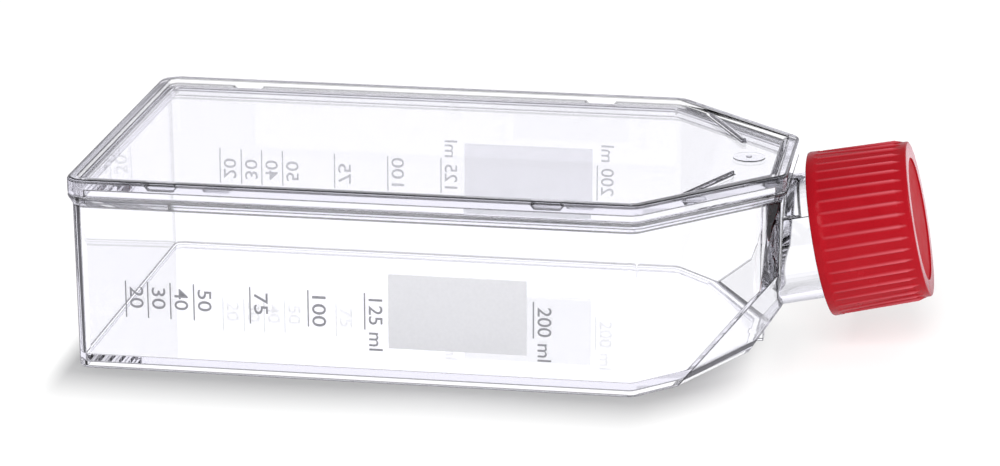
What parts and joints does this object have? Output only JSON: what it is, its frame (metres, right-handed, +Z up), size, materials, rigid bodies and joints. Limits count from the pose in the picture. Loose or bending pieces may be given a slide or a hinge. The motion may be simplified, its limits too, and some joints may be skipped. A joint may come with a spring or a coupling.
{
  "type": "cell culture flask",
  "caption": "Clear rectangular tissue culture flask lying flat, with chamfered shoulders, a canted neck, a welded top plate with stacking rim, and a ribbed screw cap.",
  "frame": {"origin": "bottom centre of the bounding box, on the standing plane", "axes": "+X runs from the blind end to the cap, +Y across, +Z up with the flask on its large growth face"},
  "size_m": [0.1608, 0.077, 0.0408],
  "materials": {
    "clear_polystyrene": "polished clear injection moulding",
    "red_cap": "smooth moulded polyethylene, semi-gloss"
  },
  "bodies": {
    "flask": {"flask_body": "clear_polystyrene", "top_plate": "clear_polystyrene"},
    "cap": {"screw_cap": "red_cap"}
  },
  "joints": [
    {"name": "cap_lift_off", "type": "slide", "parent": "flask", "child": "cap", "axis": [0.9781, 0, 0.2079], "range_m": [0, 0.04]}
  ]
}
